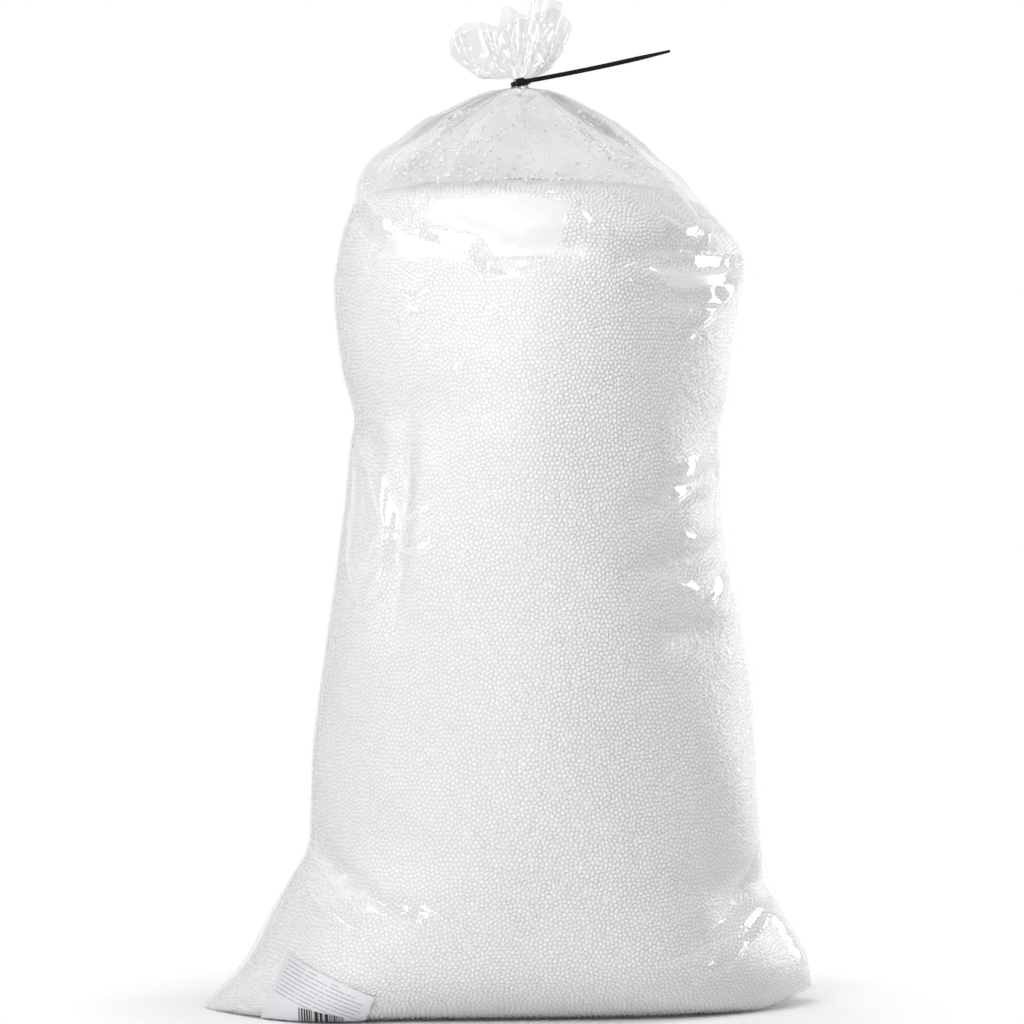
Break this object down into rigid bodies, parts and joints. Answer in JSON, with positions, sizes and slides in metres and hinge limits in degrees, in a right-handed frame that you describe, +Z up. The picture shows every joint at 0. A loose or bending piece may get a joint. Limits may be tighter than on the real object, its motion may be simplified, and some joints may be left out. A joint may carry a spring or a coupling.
{
  "type": "bag of polystyrene beads",
  "caption": "Tall clear film bag full of loose white polystyrene beads, with folded-out bottom corners, gathered at the top into a ruffle and closed with a long-tailed cable tie",
  "frame": {"origin": "On the floor, at the middle of the flat underside between the bag's two bottom corners", "axes": "+Z is up, from the underside to the ruffle. -Y is the front, with the label at its lower left. +X is to the right, where the tie's tail points."},
  "size_m": [0.6437, 0.4155, 1.0529],
  "materials": {
    "clear_film": "clear, glossy, thin polyethylene film with folds and wrinkles",
    "polystyrene": "white expanded polystyrene beads, matte",
    "black_nylon": "black moulded nylon, semi-gloss",
    "printed_paper": "thin satin label with small grey and black print"
  },
  "bodies": {
    "root": {"bag_film": "clear_film", "bead_fill": "polystyrene", "cable_tie": "black_nylon", "label": "printed_paper"}
  },
  "joints": []
}
